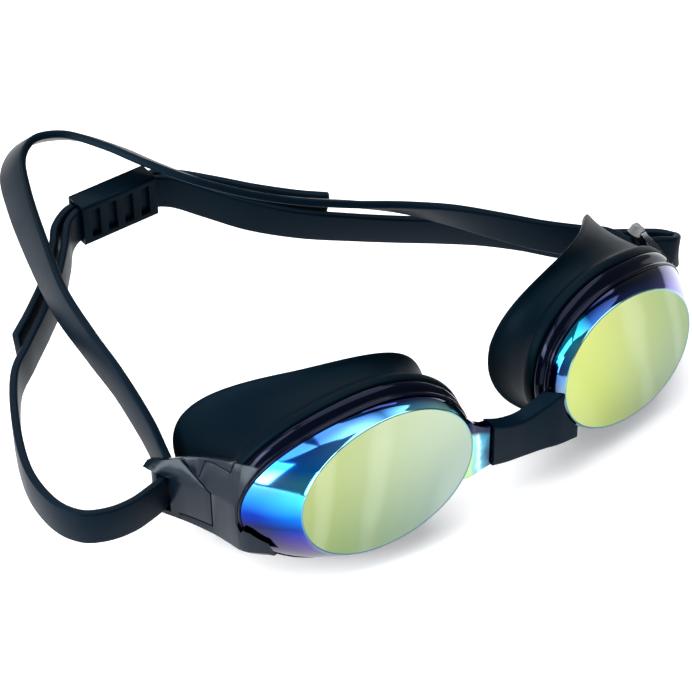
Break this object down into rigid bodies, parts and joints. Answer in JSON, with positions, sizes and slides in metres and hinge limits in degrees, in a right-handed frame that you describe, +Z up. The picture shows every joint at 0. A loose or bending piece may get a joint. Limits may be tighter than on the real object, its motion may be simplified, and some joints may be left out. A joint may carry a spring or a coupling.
{
  "type": "swim goggles",
  "caption": "Swim goggles with mirror-coated oval lenses, dark rims, soft face seals, a flexible nose bridge, swivelling strap buckles and a split strap with a sliding rear clip.",
  "frame": {"origin": "midway between the two lens centres, in the plane of their front faces, just above the nose bridge", "axes": "+X to the wearer's left, +Y back towards the wearer's face and head, +Z up; the wearer looks along -Y"},
  "size_m": [0.1706, 0.1395, 0.0416],
  "materials": {
    "mirrored_lens": "tinted, mirror-coated polycarbonate, very glossy",
    "frame_black": "glossy black plastic",
    "gasket_navy": "matte navy silicone",
    "bridge_navy": "matte navy silicone",
    "buckle_slate": "glossy dark slate plastic",
    "pin_plastic": "hard black plastic",
    "strap_slate": "matte dark slate silicone",
    "clip_black": "satin black plastic"
  },
  "bodies": {
    "right_cup": {"lens_right": "mirrored_lens", "frame_right": "frame_black", "gasket_right": "gasket_navy", "hinge_pin_right": "pin_plastic", "nose_bridge": "bridge_navy", "strap_lower_right": "strap_slate", "strap_upper_right": "strap_slate", "strap_upper_left": "strap_slate", "strap_lower_left": "strap_slate", "strap_tail_right": "strap_slate", "strap_tail_left": "strap_slate"},
    "left_cup": {"lens_left": "mirrored_lens", "frame_left": "frame_black", "gasket_left": "gasket_navy", "hinge_pin_left": "pin_plastic"},
    "right_buckle": {"buckle_right": "buckle_slate"},
    "left_buckle": {"buckle_left": "buckle_slate"},
    "right_tab": {"release_tab_right": "buckle_slate"},
    "left_tab": {"release_tab_left": "buckle_slate"},
    "clip": {"rear_clip": "clip_black"}
  },
  "joints": [
    {"name": "nose_bridge_flex", "type": "hinge", "parent": "right_cup", "child": "left_cup", "pos_m": [0.0035, 0.0005, -0.005], "axis": [0, 0, 1], "range_deg": [-5, 5], "stiffness_Nm_per_rad": 0.6, "deforming": ["nose_bridge", "strap_upper_left", "strap_lower_left"]},
    {"name": "right_buckle_swivel", "type": "hinge", "parent": "right_cup", "child": "right_buckle", "pos_m": [-0.0613, 0.0243, -0.006], "axis": [0, 0, 1], "range_deg": [-4, 5], "deforming": ["strap_upper_right", "strap_lower_right"]},
    {"name": "left_buckle_swivel", "type": "hinge", "parent": "left_cup", "child": "left_buckle", "pos_m": [0.0613, 0.0243, -0.006], "axis": [0, 0, -1], "range_deg": [-4, 5], "deforming": ["strap_upper_left", "strap_lower_left"]},
    {"name": "right_tab_press", "type": "slide", "parent": "right_cup", "child": "right_tab", "axis": [1, 0, 0], "range_m": [0, 0.0008], "stiffness_N_per_m": 500},
    {"name": "left_tab_press", "type": "slide", "parent": "left_cup", "child": "left_tab", "axis": [-1, 0, 0], "range_m": [0, 0.0008], "stiffness_N_per_m": 500},
    {"name": "clip_slide", "type": "slide", "parent": "right_cup", "child": "clip", "axis": [1, 0, 0], "range_m": [-0.0025, 0.0025], "deforming": ["strap_lower_right", "strap_lower_left", "strap_tail_right", "strap_tail_left"]}
  ]
}
